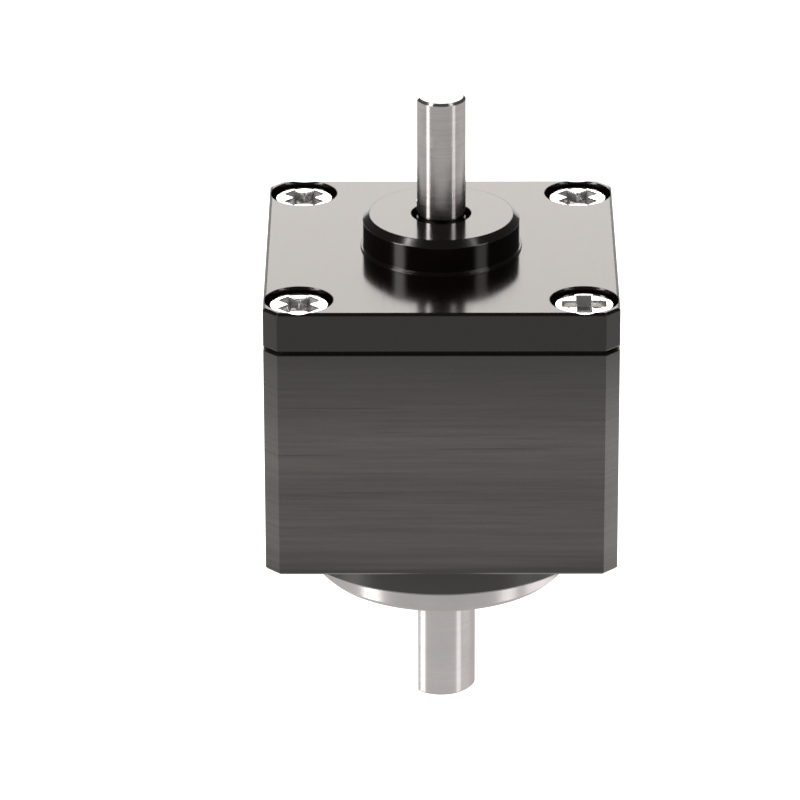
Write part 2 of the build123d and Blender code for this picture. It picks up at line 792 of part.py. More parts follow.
for half_name, face_height, direction in (("lower", race_bottom, -1), ("upper", race_top, 1)):
    with BuildPart() as half_ring:
        turned([
            (output_bearing_outside / 2, face_height),
            (outer_race_radius, face_height),
            (outer_race_radius, race_middle + direction * groove_half),
            (race_middle_radius + apex, race_middle),
            (output_bearing_outside / 2, race_middle),
        ])
    finish(half_ring, "output_bearing_outer_" + half_name)

with BuildPart() as output_bearing_rollers:
    for index in range(roller_count):
        lean = diagonal if index % 2 == 0 else -diagonal
        around = Location((0, 0, race_middle), (0, 0, 360 * index / roller_count))
        with Locations(around * Location((race_middle_radius, 0, 0), (0, lean, 0))):
            Cylinder(roller_diameter / 2, roller_length)
finish(output_bearing_rollers, "output_bearing_rollers")

with BuildPart() as output_bearing_spacers:
    roller_pitch = 2 * math.pi * race_middle_radius / roller_count
    spacer_length = roller_pitch - roller_diameter - spacer_play
    spacer_side = roller_length - spacer_play
    for index in range(roller_count):
        around = Location((0, 0, race_middle), (0, 0, 360 * (index + 0.5) / roller_count))
        with Locations(around * Location((race_middle_radius, 0, 0), (0, diagonal, 0))):
            Box(spacer_side, spacer_length, spacer_side)
finish(output_bearing_spacers, "output_bearing_spacers")


def ring_nut(name, outer_radius, inner_radius, bottom, thickness):
    """Make a thin ring nut with slots for a spanner."""
    with BuildPart() as nut:
        with BuildSketch(Plane.XY.offset(bottom)):
            Circle(outer_radius)
            Circle(inner_radius, mode=Mode.SUBTRACT)
        extrude(amount=thickness)
        with BuildSketch(Plane.XY.offset(bottom + thickness)):
            with PolarLocations((outer_radius + inner_radius) / 2, spanner_slot_count):
                Rectangle(2 * (outer_radius - inner_radius), spanner_slot)
        extrude(amount=-spanner_slot_depth, mode=Mode.SUBTRACT)
    finish(nut, name)


ring_nut("outer_race_nut", output_bearing_outside / 2, outer_race_radius, race_top, race_ring_thickness)
ring_nut("inner_race_nut", neck_diameter / 2 + inner_nut_wall, neck_diameter / 2, race_top, nut_thickness)


def lip_seal(name, outside, shaft_radius, bottom, width):
    """Make a rubber seal: a rim in its seat, a web, and a lip that meets the shaft."""
    rim = outside / 2
    lip = shaft_radius + running_gap
    with BuildPart() as seal:
        turned([
            (rim, bottom),
            (rim, bottom + width),
            (lip + seal_skin, bottom + width),
            (lip, bottom + width - seal_skin),
            (lip, bottom + width - 2 * seal_skin),
            (lip + seal_skin, bottom + width - seal_skin),
            (rim - seal_skin, bottom + width - seal_skin),
            (rim - seal_skin, bottom),
        ])
    finish(seal, name)


lip_seal("output_seal", output_seal_outside, seal_land_diameter / 2, race_bottom - output_seal_width,
         output_seal_width)
lip_seal("input_seal", input_seal_outside, input_shaft_radius, seal_pocket_top - input_seal_width,
         input_seal_width)
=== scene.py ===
"""Looks of a square strain wave reducer: finishes, screws, shafts and the studio round it.

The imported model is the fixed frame. Every length below is in millimetres unless a name or a
docstring says otherwise, and is turned into metres where a mesh or a lamp is made.
"""

import logging
import math
from dataclasses import dataclass, field
from enum import Enum
from typing import Sequence

import bmesh
import bpy
from mathutils import Matrix, Vector


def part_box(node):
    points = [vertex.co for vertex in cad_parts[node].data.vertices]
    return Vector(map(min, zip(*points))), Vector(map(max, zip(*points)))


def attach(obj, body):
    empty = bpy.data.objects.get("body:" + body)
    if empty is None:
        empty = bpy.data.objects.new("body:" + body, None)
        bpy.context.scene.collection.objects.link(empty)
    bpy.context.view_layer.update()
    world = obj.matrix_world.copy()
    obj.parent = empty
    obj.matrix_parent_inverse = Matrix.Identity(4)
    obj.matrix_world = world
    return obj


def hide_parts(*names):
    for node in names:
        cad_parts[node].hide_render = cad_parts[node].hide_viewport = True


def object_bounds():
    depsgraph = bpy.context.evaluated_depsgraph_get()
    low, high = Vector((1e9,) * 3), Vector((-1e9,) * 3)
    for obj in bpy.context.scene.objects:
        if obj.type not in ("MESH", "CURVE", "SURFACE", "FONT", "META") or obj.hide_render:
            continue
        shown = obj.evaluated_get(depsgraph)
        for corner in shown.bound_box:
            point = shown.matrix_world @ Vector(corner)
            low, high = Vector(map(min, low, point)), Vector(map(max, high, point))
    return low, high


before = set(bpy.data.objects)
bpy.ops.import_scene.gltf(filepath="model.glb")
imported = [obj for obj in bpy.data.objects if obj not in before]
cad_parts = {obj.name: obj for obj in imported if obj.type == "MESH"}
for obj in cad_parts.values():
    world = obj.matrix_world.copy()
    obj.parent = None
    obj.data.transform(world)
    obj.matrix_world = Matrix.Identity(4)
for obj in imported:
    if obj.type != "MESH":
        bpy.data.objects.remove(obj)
CAD_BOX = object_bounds()

log = logging.getLogger("reducer")

MM = 0.001

# The height over which one finish gives way to the next where they meet in a clean line.
CLEAN_LINE = 0.1
# The angle between two faces, in degrees, from which the edge of a new mesh stays sharp.
CREASE = 35.0
# How far a cutter stands out of the face that it cuts.
OVERHANG = 0.4
# The sides in X and in Y of a square's corners, in order.
CORNERS = ((-1, -1), (1, -1), (1, 1), (-1, 1))

Colour = tuple[float, float, float]
Span = tuple[float, float]
Socket = bpy.types.NodeSocket
Piece = bpy.types.Object


class Grain(Enum):
    """The way a tool or a brush has run over a metal surface, as stretch factors for X, Y and Z."""

    NONE = (1.0, 1.0, 1.0)
    LEVEL = (0.03, 0.03, 1.0)
    DRAWN = (0.012, 0.012, 1.0)
    TURNED = (0.02, 0.02, 1.0)
    CROSSWISE = (1.0, 0.04, 0.04)


class ShaderTree:
    """A material's node tree: its surface shader, and short calls for what the finishes need."""

    def __init__(self, name: str) -> None:
        """Make the material and keep its surface shader.

        Args:
            name: The material's name.
        """
        self.material = bpy.data.materials.new(name)
        self.material.use_nodes = True
        self.nodes = self.material.node_tree.nodes
        self.links = self.material.node_tree.links
        self.surface = self.nodes["Principled BSDF"]
        self.place = self.nodes.new("ShaderNodeTexCoord").outputs["Object"]

    def set(self, **values: float | Colour) -> None:
        """Set sockets of the surface shader.

        Args:
            values: Each socket's value, by its name with underscores in place of spaces.
        """
        for name, value in values.items():
            socket = self.surface.inputs[name.replace("_", " ")]
            socket.default_value = (*value, 1.0) if isinstance(value, tuple) else value

    def feed(self, name: str, source: Socket) -> None:
        """Drive a socket of the surface shader from a node."""
        self.links.new(source, self.surface.inputs[name])

    def stretched(self, grain: Grain) -> Socket:
        """Squeeze the object's own coordinates, so that a pattern runs along the grain.

        Args:
            grain: The way that the pattern is drawn out.

        Returns:
            The coordinates.
        """
        if grain is Grain.NONE:
            return self.place
        mapping = self.nodes.new("ShaderNodeMapping")
        mapping.inputs["Scale"].default_value = grain.value
        self.links.new(self.place, mapping.inputs["Vector"])
        return mapping.outputs["Vector"]

    def noise(
        self, grain: Grain, feature: float, detail: float = 3.0, roughness: float = 0.55
    ) -> Socket:
        """Add a noise pattern.

        Args:
            grain: The way that the pattern is drawn out.
            feature: The size of its main features across the grain.
            detail: How many finer layers it has.
            roughness: How strong those layers are.

        Returns:
            The pattern's value, about 0.5 on average.
        """
        node = self.nodes.new("ShaderNodeTexNoise")
        node.inputs["Scale"].default_value = 1 / (feature * MM)
        node.inputs["Detail"].default_value = detail
        node.inputs["Roughness"].default_value = roughness
        self.links.new(self.stretched(grain), node.inputs["Vector"])
        return node.outputs["Fac"]

    def spread(
        self, value: Socket, low: float, high: float, start: float = 0.3, end: float = 0.7
    ) -> Socket:
        """Map a value from one range to another, held at both ends.

        Args:
            value: The value.
            low: What comes out at start.
            high: What comes out at end.
            start: Where the value's own range begins.
            end: Where that range ends.

        Returns:
            The new value.
        """
        node = self.nodes.new("ShaderNodeMapRange")
        ends = {"From Min": start, "From Max": end, "To Min": low, "To Max": high}
        for name, number in ends.items():
            node.inputs[name].default_value = number
        self.links.new(value, node.inputs["Value"])
        return node.outputs["Result"]

    def rising(self, value: Socket, span: Span) -> Socket:
        """Go from 0 to 1 while a value goes over a span."""
        return self.spread(value, 0.0, 1.0, *span)

    def along(self, start: float, end: float, low: float = 0.0, high: float = 1.0) -> Socket:
        """Go from low to high between two heights along the shafts."""
        return self.spread(self.coordinate("Z"), low, high, start * MM, end * MM)

    def lowered(self, tone: Socket, mask: Socket, left: float = 0.0) -> Socket:
        """Cut a tone down to the share that is left of it where a mask is 1."""
        return self.product(tone, self.spread(mask, 1.0, left, 0.0, 1.0))

    def blend(self, share: Socket, first: Colour, second: Colour) -> Socket:
        """Mix two colours by a pattern.

        Args:
            share: The pattern.
            first: The colour where the pattern is 0.
            second: The colour where the pattern is 1.

        Returns:
            The mixed colour.
        """
        node = self.nodes.new("ShaderNodeMix")
        node.data_type = "RGBA"
        node.inputs["A"].default_value = (*first, 1.0)
        node.inputs["B"].default_value = (*second, 1.0)
        self.links.new(share, node.inputs["Factor"])
        return node.outputs["Result"]

    def reckon(self, operation: str, *values: Socket) -> Socket:
        """Work out one value from one or two others.

        Args:
            operation: What is done with them, in the node's own word.
            values: The values, in order.

        Returns:
            The result.
        """
        node = self.nodes.new("ShaderNodeMath")
        node.operation = operation
        for value, entry in zip(values, node.inputs):
            self.links.new(value, entry)
        return node.outputs["Value"]

    def product(self, first: Socket, second: Socket) -> Socket:
        """Multiply two patterns."""
        return self.reckon("MULTIPLY", first, second)

    def greater(self, first: Socket, second: Socket) -> Socket:
        """Take the greater of two patterns."""
        return self.reckon("MAXIMUM", first, second)

    def coordinate(self, axis: str) -> Socket:
        """Find one of the object's own coordinates.

        Args:
            axis: X, Y or Z, which runs along the shafts.

        Returns:
            The coordinate, in metres.
        """
        node = self.nodes.new("ShaderNodeSeparateXYZ")
        self.links.new(self.place, node.inputs["Vector"])
        return node.outputs[axis]

    def reach(self) -> Socket:
        """Find the distance from the shafts' axis.

        Returns:
            The distance, in metres.
        """
        level = self.nodes.new("ShaderNodeVectorMath")
        level.operation = "MULTIPLY"
        level.inputs[1].default_value = (1.0, 1.0, 0.0)
        self.links.new(self.place, level.inputs[0])
        length = self.nodes.new("ShaderNodeVectorMath")
        length.operation = "LENGTH"
        self.links.new(level.outputs["Vector"], length.inputs[0])
        return length.outputs["Value"]

    def flat_on(self, radius: float) -> Socket:
        """Mark the upright faces that lie nearer the axis than a round shaft's skin.

        Args:
            radius: The shaft's radius.

        Returns:
            1 on a flat that is milled on the shaft, and 0 elsewhere.
        """
        sunk, flush = radius - 0.04, radius - 0.02
        upright, lying = 0.2, 0.4
        inside = self.spread(self.reach(), 1.0, 0.0, sunk * MM, flush * MM)
        facing = self.nodes.new("ShaderNodeSeparateXYZ")
        normal = self.nodes.new("ShaderNodeTexCoord").outputs["Normal"]
        self.links.new(normal, facing.inputs["Vector"])
        lift = self.reckon("ABSOLUTE", facing.outputs["Z"])
        return self.product(inside, self.spread(lift, 1.0, 0.0, upright, lying))

    def emboss(self, layers: Sequence[tuple[Socket, float, float]], edge: float = 0.0) -> None:
        """Raise the surface by one pattern after another.

        Args:
            layers: For each pattern, its value, its strength and its height.
            edge: How far the piece's sharp edges look broken.
        """
        normal = None
        if edge > 0:
            rim = self.nodes.new("ShaderNodeBevel")
            rim.samples = 4
            rim.inputs["Radius"].default_value = edge * MM
            normal = rim.outputs["Normal"]
        for value, strength, rise in layers:
            node = self.nodes.new("ShaderNodeBump")
            node.inputs["Strength"].default_value = strength
            node.inputs["Distance"].default_value = rise * MM
            self.links.new(value, node.inputs["Height"])
            if normal is not None:
                self.links.new(normal, node.inputs["Normal"])
            normal = node.outputs["Normal"]
        self.feed("Normal", normal)

    def run_round_shafts(self) -> None:
        """Turn the gloss so that it is drawn out along the shafts, as tool marks round them do."""
        node = self.nodes.new("ShaderNodeTangent")
        node.direction_type = "RADIAL"
        node.axis = "Z"
        self.feed("Tangent", node.outputs["Tangent"])


@dataclass(frozen=True)
class Finish:
    """A surface finish, which makes one material.

    Attributes:
        name: The material's name.
        colour: The main colour.
        shade: The colour that the patterns, and any painted shade, lead to.
        roughness: The roughness on average.
    """

    name: str
    colour: Colour
    shade: Colour
    roughness: float

    def material(self) -> bpy.types.Material:
        """Make the material.

        Returns:
            The finished material.
        """
        tree = ShaderTree(self.name)
        tree.set(Base_Color=self.colour, Roughness=self.roughness)
        self.dress(tree)
        return tree.material

    def gloss(self, play: float) -> Span:
        """Return the roughness at both ends of its play."""
        return self.roughness - play, self.roughness + play

    def dress(self, tree: ShaderTree) -> None:
        """Add the finish's own patterns to the material's tree."""
        raise NotImplementedError


@dataclass(frozen=True)
class Anodised(Finish):
    """Dyed anodised aluminium: a dark body under a hard, clear layer that mirrors at a low angle.

    Attributes:
        gloss_index: The clear layer's refractive index.
        gloss_tint: The tint of what that layer mirrors.
        roughness_play: How far the streaks change the roughness, up and down.
        grain: The way that the metal was brushed before it was dyed.
        streak: The width of the brush streaks.
        streak_rise: The height of the brush streaks.
        streak_strength: How much of that height shows.
        grit: The size of the etched grit.
        grit_rise: The height of the etched grit.
        grit_strength: How much of that height shows.
        cloud: The size of the clouds in the dye.
        pale_share: The least share of the main colour in a streak.
        dye_span: The values of clouds times streaks between which the dye changes.
        scratch: The width of the fine scratches, or 0 for none.
        scratch_tone: The tone that is left in a scratch.
        scratch_span: The values of the noise between which a scratch begins.
        patch_span: The values of the noise between which a scratched patch begins.
        blotched_below: The height under which the surface is darker in blotches, or 0 for none.
        blotch_size: The size of the blotches.
        blotch_span: The values of the noise between which a blotch begins.
        edge: How far the edges look broken.
        top: The height at which the main colour has faded out into painted shade.
        fade: How far under the top the painted shade starts.
        foot: The height under which there is no main colour.
    """

    gloss_index: float = 1.5
    gloss_tint: Colour = (1.0, 0.95, 0.93)
    roughness_play: float = 0.05
    grain: Grain = Grain.NONE
    streak: float = 0.5
    streak_rise: float = 0.004
    streak_strength: float = 0.35
    grit: float = 0.06
    grit_rise: float = 0.001
    grit_strength: float = 0.1
    cloud: float = 9.0
    pale_share: float = 0.0
    dye_span: Span = (0.12, 0.4)
    scratch: float = 0.0
    scratch_tone: float = 0.35
    scratch_span: Span = (0.62, 0.66)
    patch_span: Span = (0.48, 0.56)
    blotched_below: float = 0.0
    blotch_size: float = 3.5
    blotch_span: Span = (0.38, 0.5)
    edge: float = 0.12
    top: float = 60.0
    fade: float = 1.0
    foot: float = -60.0

    def scratches(self, tree: ShaderTree) -> Socket:
        """Scatter fine scratches over some patches of the surface.

        Args:
            tree: The material's tree.

        Returns:
            1 in a scratch, and 0 elsewhere.
        """
        lines = tree.noise(Grain.DRAWN, self.scratch, detail=1.0)
        patches = tree.noise(Grain.LEVEL, self.cloud * 0.6, detail=2.0)
        lines = tree.rising(lines, self.scratch_span)
        return tree.product(lines, tree.rising(patches, self.patch_span))

    def blotches(self, tree: ShaderTree) -> Socket:
        """Scatter darker blotches near the piece's foot.

        Args:
            tree: The material's tree.

        Returns:
            1 in a blotch, and 0 elsewhere.
        """
        blots = tree.noise(Grain.LEVEL, self.blotch_size, detail=3.0)
        near = tree.along(0.0, self.blotched_below, 1.0, 0.0)
        return tree.product(tree.rising(blots, self.blotch_span), near)

    def dress(self, tree: ShaderTree) -> None:
        """Add dye clouds, brush streaks, scratches, dark blotches, top painted shade and etched
        grit.

        Args:
            tree: The material's tree.
        """
        tree.set(IOR=self.gloss_index, Metallic=0.0, Specular_Tint=self.gloss_tint)
        clouds = tree.noise(Grain.LEVEL, self.cloud, detail=4.0)
        streaks = tree.noise(self.grain, self.streak, detail=6.0, roughness=0.65)
        grit = tree.noise(Grain.NONE, self.grit, detail=1.0)
        tone = tree.spread(tree.product(clouds, streaks), self.pale_share, 1.0, *self.dye_span)
        # Painted shade: the colour darkens towards the top.
        tone = tree.product(tone, tree.along(self.top, self.top - self.fade))
        tone = tree.product(tone, tree.along(self.foot, self.foot + CLEAN_LINE))
        if self.scratch > 0:
            tone = tree.lowered(tone, self.scratches(tree), self.scratch_tone)
        # Darker in blotches towards the bottom.
        if self.blotched_below > 0:
            tone = tree.lowered(tone, self.blotches(tree))
        tree.feed("Base Color", tree.blend(tone, self.shade, self.colour))
        low, high = self.gloss(self.roughness_play)
        tree.feed("Roughness", tree.spread(streaks, high, low))
        layers = [
            (streaks, self.streak_strength, self.streak_rise),
            (grit, self.grit_strength, self.grit_rise),
        ]
        tree.emboss(layers, self.edge)


@dataclass(frozen=True)
class TurnedSteel(Finish):
    """Ground or turned steel, with tool marks round the axis and a gloss drawn out across them.

    Attributes:
        drawn_out: How far the gloss is drawn out.
        edge_tint: The tint of what the steel mirrors at a low angle.
        roughness_play: How far the marks change the roughness, up and down.
        mark: The width of the tool marks.
        mark_rise: The height of the tool marks.
        mark_strength: How much of that height shows.
        score: The width of the deeper scores.
        score_span: The values of the noise between which a score begins.
        blotch_size: The size of the stains.
        stain_tone: The tone that is left in a stain.
        blotch_span: The values of stains times marks between which a stain ends.
        painted_shade_below: The height under which painted shade darkens the steel.
        flat_radius: The radius of the shaft that has a milled flat, or 0 for none.
        flat_roughness: The roughness of the flat.
        flat_tone: The tone that is left on the flat.
        flange_from: The distance from the axis at which a duller flange begins, or 0 for none.
        flange_blend: The width over which it begins.
        flange_roughness: The roughness of the flange.
    """

    drawn_out: float = 0.82
    edge_tint: Colour = (0.72, 0.69, 0.68)
    roughness_play: float = 0.03
    mark: float = 0.16
    mark_rise: float = 0.0006
    mark_strength: float = 0.3
    score: float = 0.8
    score_span: Span = (0.6, 0.72)
    blotch_size: float = 6.0
    stain_tone: float = 0.75
    blotch_span: Span = (0.15, 0.4)
    painted_shade_below: float = -60.0
    flat_radius: float = 0.0
    flat_roughness: float = 0.6
    flat_tone: float = 0.7
    flange_from: float = 0.0
    flange_blend: float = 0.5
    flange_roughness: float = 0.31

    def dress(self, tree: ShaderTree) -> None:
        """Add tool marks round the shaft, broad stains, a few deeper scores and painted shade.

        Args:
            tree: The material's tree.
        """
        tree.set(Metallic=1.0, Anisotropic=self.drawn_out, Anisotropic_Rotation=0.25)
        tree.set(Specular_Tint=self.edge_tint)
        tree.run_round_shafts()
        marks = tree.noise(Grain.TURNED, self.mark, detail=5.0, roughness=0.7)
        scores = tree.rising(tree.noise(Grain.TURNED, self.score, detail=2.0), self.score_span)
        blotches = tree.product(tree.noise(Grain.NONE, self.blotch_size, detail=3.0), marks)
        # Painted shade: the steel darkens below a given height, down in the hole.
        tone = tree.product(
            tree.along(self.painted_shade_below - CLEAN_LINE, self.painted_shade_below),
            tree.spread(blotches, self.stain_tone, 1.0, *self.blotch_span),
        )
        gloss = tree.spread(marks, *self.gloss(self.roughness_play))
        if self.flat_radius > 0:
            flat = tree.flat_on(self.flat_radius)
            tone = tree.lowered(tone, flat, self.flat_tone)
            gloss = tree.greater(gloss, tree.spread(flat, 0.0, self.flat_roughness, 0.0, 1.0))
        if self.flange_from > 0:
            start, end = self.flange_from * MM, (self.flange_from + self.flange_blend) * MM
            flange = tree.spread(tree.reach(), 0.0, self.flange_roughness, start, end)
            gloss = tree.greater(gloss, flange)
        tree.feed("Base Color", tree.blend(tone, self.shade, self.colour))
        tree.feed("Roughness", gloss)
        layers = [
            (marks, self.mark_strength, self.mark_rise),
            (scores, self.mark_strength, self.mark_rise * 2),
        ]
        tree.emboss(layers)


@dataclass(frozen=True)
class Plated(Finish):
    """Bright plated or polished metal, with a faint orange peel and light handling marks.

    Attributes:
        peel: The size of the orange peel.
        peel_rise: The height of the orange peel.
        peel_strength: How much of that height shows.
        haze: The size of the handling marks.
        haze_gloss: The least and the greatest share of the roughness in them.
        haze_tone: The tone that is left in them.
        matt_and_shaded_below: The height under which the metal is duller and has painted shade.
        matt_roughness: The roughness there.
    """

    peel: float = 1.2
    peel_rise: float = 0.002
    peel_strength: float = 0.12
    haze: float = 3.0
    haze_gloss: Span = (0.8, 1.5)
    haze_tone: float = 0.85
    matt_and_shaded_below: float = -60.0
    matt_roughness: float = 0.4

    def dress(self, tree: ShaderTree) -> None:
        """Add orange peel, a slight change of gloss, and duller metal with painted shade in a
        recess.

        Args:
            tree: The material's tree.
        """
        tree.set(Metallic=1.0)
        peel = tree.noise(Grain.NONE, self.peel, detail=2.0)
        haze = tree.noise(Grain.NONE, self.haze, detail=4.0)
        gloss = tree.spread(haze, *(self.roughness * share for share in self.haze_gloss))
        sunk = (self.matt_and_shaded_below - CLEAN_LINE, self.matt_and_shaded_below)
        tree.feed("Roughness", tree.greater(gloss, tree.along(*sunk, self.matt_roughness, 0.0)))
        # Painted shade: the colour darkens down in the recess.
        tone = tree.product(tree.along(*sunk), tree.spread(haze, self.haze_tone, 1.0))
        tree.feed("Base Color", tree.blend(tone, self.shade, self.colour))
        tree.emboss([(peel, self.peel_strength, self.peel_rise)])


@dataclass(frozen=True)
class Moulded(Finish):
    """Moulded rubber or plastic, with a fine matt grain.

    Attributes:
        roughness_play: How far the grain changes the roughness, up and down.
        sheen: How much it mirrors.
        grain_size: The size of the grain.
        grain_rise: The height of the grain.
        grain_strength: How much of that height shows.
        wear: The size of the patches of wear.
    """

    roughness_play: float = 0.1
    sheen: float = 0.25
    grain_size: float = 0.15
    grain_rise: float = 0.01
    grain_strength: float = 0.4
    wear: float = 4.0

    def dress(self, tree: ShaderTree) -> None:
        """Add the matt grain and uneven gloss.

        Args:
            tree: The material's tree.
        """
        tree.set(Metallic=0.0, Specular_IOR_Level=self.sheen)
        grain = tree.noise(Grain.NONE, self.grain_size, detail=3.0)
        wear = tree.noise(Grain.NONE, self.wear, detail=4.0)
        tree.feed("Base Color", tree.blend(tree.spread(wear, 0.0, 1.0), self.colour, self.shade))
        tree.feed("Roughness", tree.spread(grain, *self.gloss(self.roughness_play)))
        tree.emboss([(grain, self.grain_strength, self.grain_rise)])


FINISHES: dict[str, Finish] = {
    finish.name: finish
    for finish in (
        # What shows from outside.
        # The housing darkens towards its top with painted shade.
        Anodised(
            "housing_anodised", colour=(0.051, 0.0462, 0.0442), shade=(0.009, 0.0082, 0.0070),
            roughness=0.29, roughness_play=0.03, grain=Grain.LEVEL, streak=0.6,
            streak_rise=0.0016, pale_share=0.4, scratch=0.3, blotched_below=5.0, edge=0.02,
            top=35.0, fade=14.0, foot=-0.4,
        ),
        Anodised(
            "cover_anodised", colour=(0.0014, 0.0006, 0.0004), shade=(0.0010, 0.0004, 0.0003),
            roughness=0.15, roughness_play=0.02, gloss_index=1.46, grain=Grain.CROSSWISE,
            streak_rise=0.0004, grit_rise=0.0002, edge=0.2,
        ),
        Moulded(
            "gasket", colour=(0.0015, 0.0015, 0.0015), shade=(0.0009, 0.0009, 0.0009),
            roughness=0.85,
        ),
        # The screws darken down in their recesses with painted shade.
        Plated(
            "screw_nickel", colour=(0.86, 0.85, 0.84), shade=(0.48, 0.47, 0.46), roughness=0.11,
            matt_and_shaded_below=39.6, matt_roughness=0.26,
        ),
        # The input shaft darkens down in its hole with painted shade.
        TurnedSteel(
            "input_shaft_steel", colour=(0.39, 0.365, 0.352), shade=(0.02, 0.019, 0.018),
            roughness=0.18, painted_shade_below=45.6, flat_radius=3.5,
        ),
        TurnedSteel(
            "output_shaft_steel", colour=(0.43, 0.405, 0.397), shade=(0.25, 0.235, 0.228),
            roughness=0.22, mark_rise=0.0003, flat_radius=5.0, flange_from=8.0,
        ),
        # What lies inside.
        TurnedSteel(
            "gear_steel", colour=(0.42, 0.42, 0.43), shade=(0.34, 0.34, 0.35), roughness=0.34,
            drawn_out=0.5,
        ),
        TurnedSteel(
            "spring_steel", colour=(0.34, 0.34, 0.36), shade=(0.27, 0.26, 0.27), roughness=0.30,
            drawn_out=0.5,
        ),
        Plated(
            "bearing_steel", colour=(0.72, 0.72, 0.73), shade=(0.62, 0.62, 0.63), roughness=0.08
        ),
        Plated(
            "screw_black", colour=(0.035, 0.035, 0.038), shade=(0.022, 0.022, 0.024),
            roughness=0.38,
        ),
        Plated("cage_brass", colour=(0.70, 0.52, 0.25), shade=(0.58, 0.42, 0.19), roughness=0.24),
        Moulded("cage_polymer", colour=(0.16, 0.13, 0.09), shade=(0.13, 0.10, 0.07), roughness=0.5),
        Moulded(
            "seal_rubber", colour=(0.028, 0.028, 0.028), shade=(0.018, 0.018, 0.018),
            roughness=0.6,
        ),
    )
}
MATERIALS: dict[str, bpy.types.Material] = {}


@dataclass(frozen=True)
class Corner:
    """One corner of a turned outline.

    Attributes:
        radius: Its distance from the axis.
        height: Its height.
        rounding: The radius that rounds it, or 0 for a sharp corner.
    """

    radius: float
    height: float
    rounding: float = 0.0


def rounded(outline: Sequence[Corner], steps: int = 4) -> list[tuple[float, float]]:
    """Round the corners of a turned outline.

    Args:
        outline: The corners, in order.
        steps: How many chords each rounding has.

    Returns:
        Points as (radius, height).
    """
    points = []
    for index, corner in enumerate(outline):
        here = Vector((corner.radius, corner.height))
        if corner.rounding == 0 or index in (0, len(outline) - 1):
            points.append(tuple(here))
            continue
        before = Vector((outline[index - 1].radius, outline[index - 1].height)) - here
        after = Vector((outline[index + 1].radius, outline[index + 1].height)) - here
        half = before.angle(after) / 2
        reach = corner.rounding / math.tan(half)
        start, end = here + before.normalized() * reach, here + after.normalized() * reach
        centre = here + (before.normalized() + after.normalized()).normalized() * (
            corner.rounding / math.sin(half)
        )
        for step in range(steps + 1):
            chord = start.lerp(end, step / steps) - centre
            points.append(tuple(centre + chord.normalized() * corner.rounding))
    return points


def made_object(bm: bmesh.types.BMesh, name: str) -> Piece:
    """Turn a mesh under construction into an object with smooth faces and sharp edges.

    Args:
        bm: The mesh, in millimetres.
        name: The object's name.

    Returns:
        The object, in metres.
    """
    bmesh.ops.scale(bm, vec=(MM, MM, MM), verts=bm.verts)
    bmesh.ops.recalc_face_normals(bm, faces=bm.faces)
    mesh = bpy.data.meshes.new(name)
    bm.to_mesh(mesh)
    bm.free()
    mesh.shade_smooth()
    mesh.set_sharp_from_angle(angle=math.radians(CREASE))
    piece = bpy.data.objects.new(name, mesh)
    bpy.context.scene.collection.objects.link(piece)
    return piece


def stacked(rings: Sequence[Sequence[Vector]]) -> bmesh.types.BMesh:
    """Join rings of points, one above the other, into a closed skin.

    Args:
        rings: The rings, all with the same number of points.

    Returns:
        The mesh, with a flat face on its first and its last ring.
    """
    bm = bmesh.new()
    loops = [[bm.verts.new(point) for point in ring] for ring in rings]
    for low, high in zip(loops, loops[1:]):
        for index, vert in enumerate(low):
            after = (index + 1) % len(low)
            bm.faces.new((vert, low[after], high[after], high[index]))
    bm.faces.new(loops[0])
    bm.faces.new(loops[-1])
    return bm


def cut_out(piece: Piece, cutter: Piece) -> None:
    """Take the cutter's volume out of a piece, and delete the cutter.

    Args:
        piece: The piece.
        cutter: The cutter.
    """
    modifier = piece.modifiers.new("cut", "BOOLEAN")
    modifier.operation = "DIFFERENCE"
    modifier.solver = "EXACT"
    modifier.object = cutter
    bpy.context.view_layer.update()
    graph = bpy.context.evaluated_depsgraph_get()
    mesh = bpy.data.meshes.new_from_object(piece.evaluated_get(graph))
    piece.modifiers.clear()
    piece.data = mesh
    bpy.data.objects.remove(cutter)


def soften(piece: Piece, height: float, within: float, width: float) -> None:
    """Round the edges that a cut left in a flat face.

    Args:
        piece: The piece, whose axis is its origin's vertical.
        height: The height of the flat face.
        within: The radius inside which the edges lie.
        width: How far they are rounded.
    """
    bm = bmesh.new()
    bm.from_mesh(piece.data)
    level, near, radius = height * MM, 0.01 * MM, within * MM
    least_angle = math.radians(30)
    edges = [
        edge
        for edge in bm.edges
        if all(abs(v.co.z - level) < near and v.co.xy.length < radius for v in edge.verts)
        and len(edge.link_faces) == 2
        and edge.calc_face_angle(0.0) > least_angle
    ]
    bmesh.ops.bevel(bm, geom=edges, offset=width * MM, segments=2, profile=0.5, affect="EDGES")
    bm.to_mesh(piece.data)
    bm.free()
    piece.data.shade_smooth()
    piece.data.set_sharp_from_angle(angle=math.radians(CREASE))


class Recess(Enum):
    """The drive that is sunk into a screw's head."""

    CROSS = "cross"
    HEXAGON = "hexagon"


